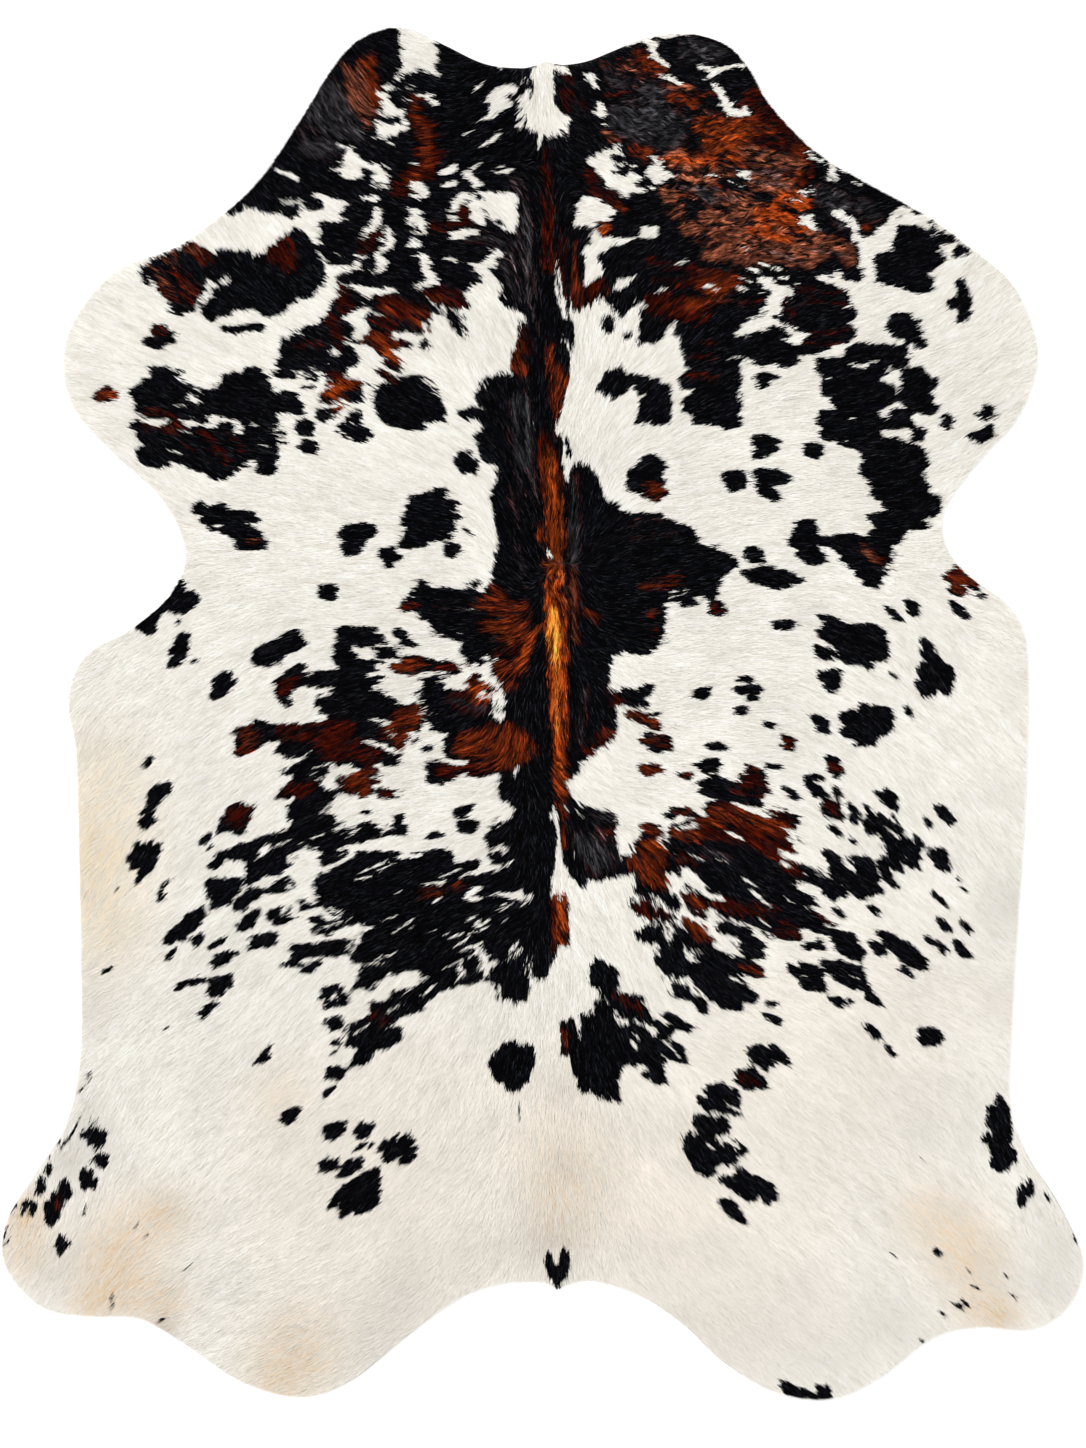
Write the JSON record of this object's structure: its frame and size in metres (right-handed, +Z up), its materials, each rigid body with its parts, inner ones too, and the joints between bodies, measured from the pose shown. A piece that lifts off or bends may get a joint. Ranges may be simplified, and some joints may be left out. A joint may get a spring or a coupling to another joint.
{
  "type": "cowhide rug",
  "caption": "Whole hair-on cowhide laid flat as a rug, with black, brown and cream patches and its natural neck, leg and tail outline.",
  "frame": {"origin": "middle of the hide's footprint, on the surface it lies on", "axes": "+Z up out of the hair side, +Y along the hide's length towards the neck, +X to the right seen from above with the neck up"},
  "size_m": [1.6534, 2.0998, 0.0056],
  "materials": {
    "hair_on_hide": "short lying hair with a soft sheen, cream with black and brown patches, on a suede flesh side"
  },
  "bodies": {
    "root": {"hide": "hair_on_hide"}
  },
  "joints": []
}
